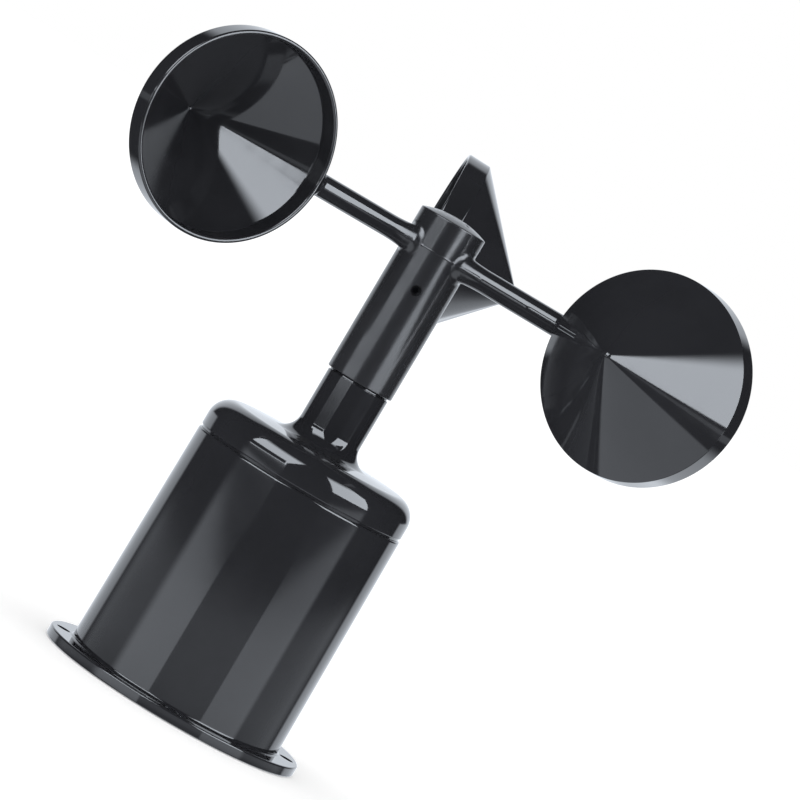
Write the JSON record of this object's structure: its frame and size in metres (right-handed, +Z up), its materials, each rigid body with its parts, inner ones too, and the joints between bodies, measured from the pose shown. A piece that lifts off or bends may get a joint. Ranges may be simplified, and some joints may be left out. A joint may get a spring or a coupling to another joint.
{
  "type": "cup anemometer",
  "caption": "Cup anemometer: conical cups on round arms turn a ball-bearing spindle above a cylindrical flanged sensor housing with a domed cap.",
  "frame": {"origin": "centre of the foot flange's underside, on the rotor axis", "axes": "+Z up the rotor axis, +Y towards the back with the rear cup above it at rest, +X across; the mounting holes are on +X, +Y, -X and -Y"},
  "size_m": [0.1849, 0.1688, 0.1766],
  "materials": {
    "shell_plastic": "glossy moulded polycarbonate",
    "rotor_plastic": "glossy moulded polycarbonate",
    "inner_plastic": "matt moulded plastic",
    "chip_plastic": "matt moulded epoxy",
    "nylon": "natural nylon",
    "board": "green solder resist on glass fibre",
    "rubber": "matt rubber",
    "shaft_steel": "ground steel",
    "ball_steel": "polished bearing steel",
    "screw_steel": "zinc-plated steel",
    "brass": "turned brass",
    "can_aluminium": "drawn aluminium can",
    "socket_metal": "nickel-plated shell",
    "pin_gold": "plated contact",
    "wire_brown": "soft PVC",
    "wire_green": "soft PVC",
    "wire_blue": "soft PVC",
    "wire_black": "soft PVC"
  },
  "bodies": {
    "stator": {"housing": "shell_plastic", "cap": "shell_plastic", "cap_seal": "rubber", "base_cover": "shell_plastic", "cover_gasket": "rubber", "cover_screws": "screw_steel", "upper_outer_ring": "ball_steel", "upper_shields": "shaft_steel", "lower_outer_ring": "ball_steel", "lower_shields": "shaft_steel", "light_barrier": "chip_plastic", "main_board": "board", "controller_chip": "chip_plastic", "output_chip": "chip_plastic", "filter_capacitor": "can_aluminium", "standoffs": "brass", "board_screws": "screw_steel", "wire_header": "nylon", "wire_plug": "nylon", "supply_wire": "wire_brown", "signal_a_wire": "wire_green", "signal_b_wire": "wire_blue", "ground_wire": "wire_black", "socket_shell": "socket_metal", "socket_insert": "inner_plastic", "socket_pins": "pin_gold", "socket_nut": "socket_metal", "socket_seal": "rubber"},
    "rotor": {"rotor_hub": "rotor_plastic", "cup_rear": "rotor_plastic", "cup_left": "rotor_plastic", "cup_right": "rotor_plastic", "hub_insert": "brass", "hub_set_screw": "screw_steel", "spindle": "shaft_steel", "bearing_spacer": "nylon", "shim_washer": "shaft_steel", "retaining_clip": "shaft_steel", "upper_inner_ring": "ball_steel", "lower_inner_ring": "ball_steel", "chopper_wheel": "inner_plastic", "chopper_screw": "screw_steel"},
    "upper_ball_train": {"upper_balls": "ball_steel", "upper_cage": "brass"},
    "lower_ball_train": {"lower_balls": "ball_steel", "lower_cage": "brass"}
  },
  "joints": [
    {"name": "rotor_spin", "type": "hinge", "parent": "stator", "child": "rotor", "pos_m": [0, 0, 0.1], "axis": [0, 0, 1], "continuous": true},
    {"name": "upper_balls_roll", "type": "hinge", "parent": "stator", "child": "upper_ball_train", "pos_m": [0, 0, 0.1255], "axis": [0, 0, 1], "continuous": true},
    {"name": "lower_balls_roll", "type": "hinge", "parent": "stator", "child": "lower_ball_train", "pos_m": [0, 0, 0.0795], "axis": [0, 0, 1], "continuous": true}
  ],
  "couplings": [
    {"joint": "upper_balls_roll", "follows": "rotor_spin", "ratio": 0.40125},
    {"joint": "lower_balls_roll", "follows": "rotor_spin", "ratio": 0.40125}
  ]
}
